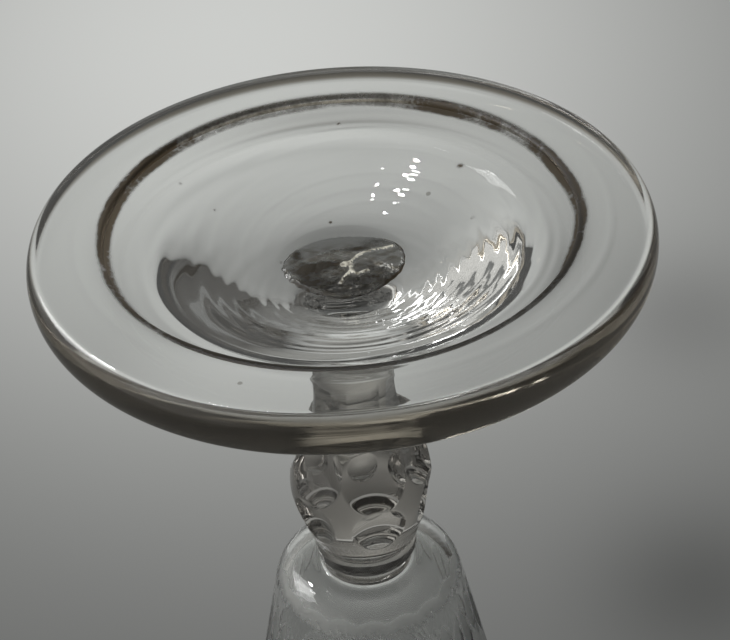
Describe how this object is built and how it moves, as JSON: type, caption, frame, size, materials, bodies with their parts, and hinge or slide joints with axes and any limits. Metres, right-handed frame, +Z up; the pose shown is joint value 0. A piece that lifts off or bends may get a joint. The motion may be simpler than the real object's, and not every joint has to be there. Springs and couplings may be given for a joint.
{
  "type": "engraved drinking glass",
  "caption": "Stemmed drinking glass with a folded cone foot, a lens-cut shouldered knop, a merese collar and a flared bowl with a wheel-engraved frieze.",
  "frame": {"origin": "centre of the foot, on the plane that the foot stands on", "axes": "+Z up the stem, out of the bowl's mouth; the glass is round about Z, and its knop's cuts start 12 degrees from the Y axis"},
  "size_m": [0.084, 0.084, 0.158],
  "materials": {
    "fold_glass": "clear soda glass, fire polished, with brown dirt in the crease",
    "foot_glass": "clear soda glass, faintly grey, with tool rings and seeds",
    "scar_glass": "snapped rough glass, grey-brown with dirt",
    "stem_glass": "clear soda glass, cut and polished",
    "bowl_glass": "clear soda glass with frosted wheel engraving"
  },
  "bodies": {
    "root": {"foot_fold": "fold_glass", "foot": "foot_glass", "pontil_scar": "scar_glass", "stem_neck": "stem_glass", "knop": "stem_glass", "merese": "stem_glass", "bowl": "bowl_glass"}
  },
  "joints": []
}
